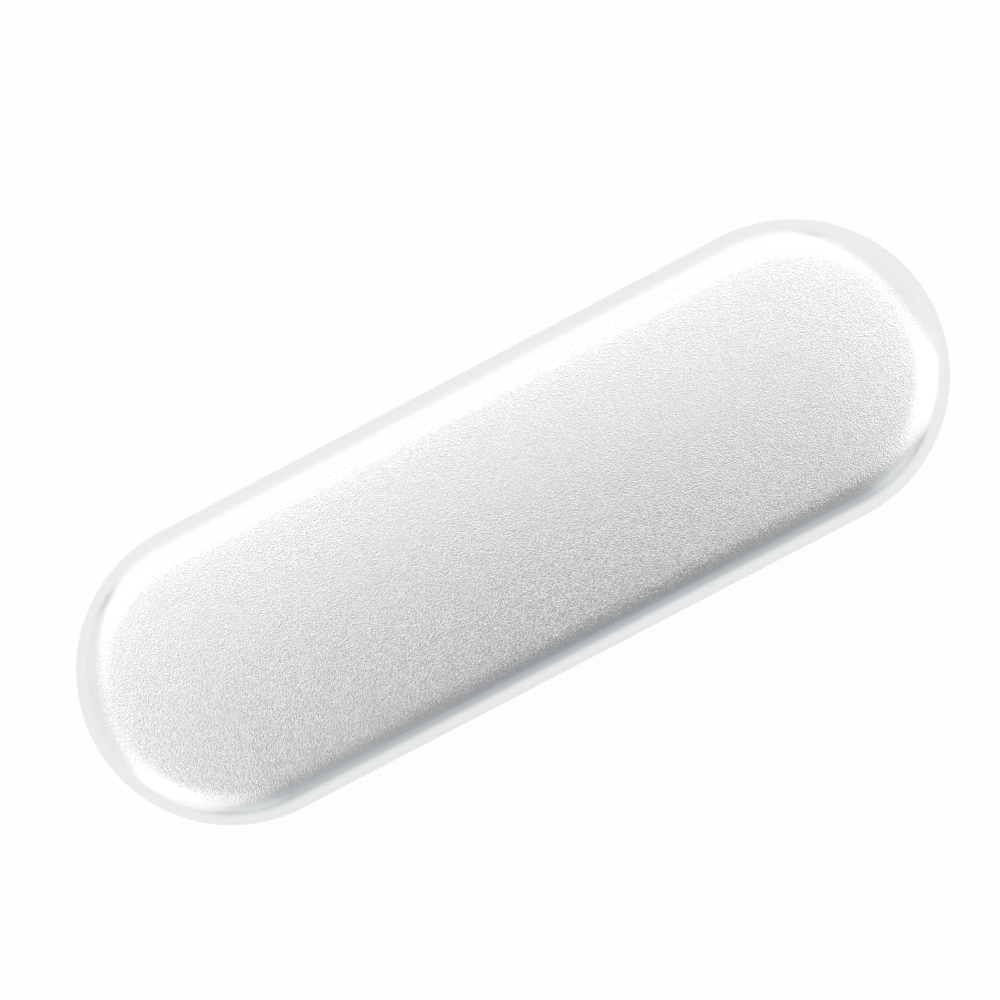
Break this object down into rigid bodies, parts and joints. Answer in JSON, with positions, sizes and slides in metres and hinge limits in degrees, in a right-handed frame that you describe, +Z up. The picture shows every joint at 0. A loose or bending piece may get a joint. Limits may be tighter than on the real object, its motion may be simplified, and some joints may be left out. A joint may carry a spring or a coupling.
{
  "type": "eyelash tool case",
  "caption": "Slim stadium-shaped metal clamshell case with sprung rear hinges, flocked trays and a slotted foam cushion for lash tools.",
  "frame": {"origin": "centre of the bottom of the closed case's box, on the face that it rests on", "axes": "+X along the case, +Y towards the hinge side, +Z up; the lid opens from the -Y side; the rest pose is closed"},
  "size_m": [0.16, 0.0528, 0.022],
  "materials": {
    "shell": "bead-blasted and anodised, satin",
    "tray": "flocked",
    "foam": "velvet-faced foam",
    "tape": "matt",
    "leaf": "nickel plated",
    "steel": "bright drawn"
  },
  "bodies": {
    "base": {"base_shell": "shell", "base_tray_tape": "tape", "base_tray": "tray", "cushion_tape": "tape", "cushion_backing": "foam", "tool_cushion": "foam", "base_hinge_leaf_left": "leaf", "base_hinge_leaf_right": "leaf", "base_hinge_rivets": "steel", "hinge_pin_left": "steel", "hinge_pin_right": "steel", "hinge_spring_left": "steel", "hinge_spring_right": "steel"},
    "lid": {"lid_shell": "shell", "lid_tray_tape": "tape", "lid_tray": "tray", "pad_tape": "tape", "lid_pad": "foam", "lid_hinge_leaf_left": "leaf", "lid_hinge_leaf_right": "leaf", "lid_hinge_rivets": "steel"}
  },
  "joints": [
    {"name": "lid_hinge", "type": "hinge", "parent": "base", "child": "lid", "pos_m": [0, 0.0251, 0.011], "axis": [-1, 0, 0], "range_deg": [0, 100], "stiffness_Nm_per_rad": 0.0115, "springref_deg": -99.69, "deforming": ["hinge_spring_left", "hinge_spring_right"]}
  ]
}
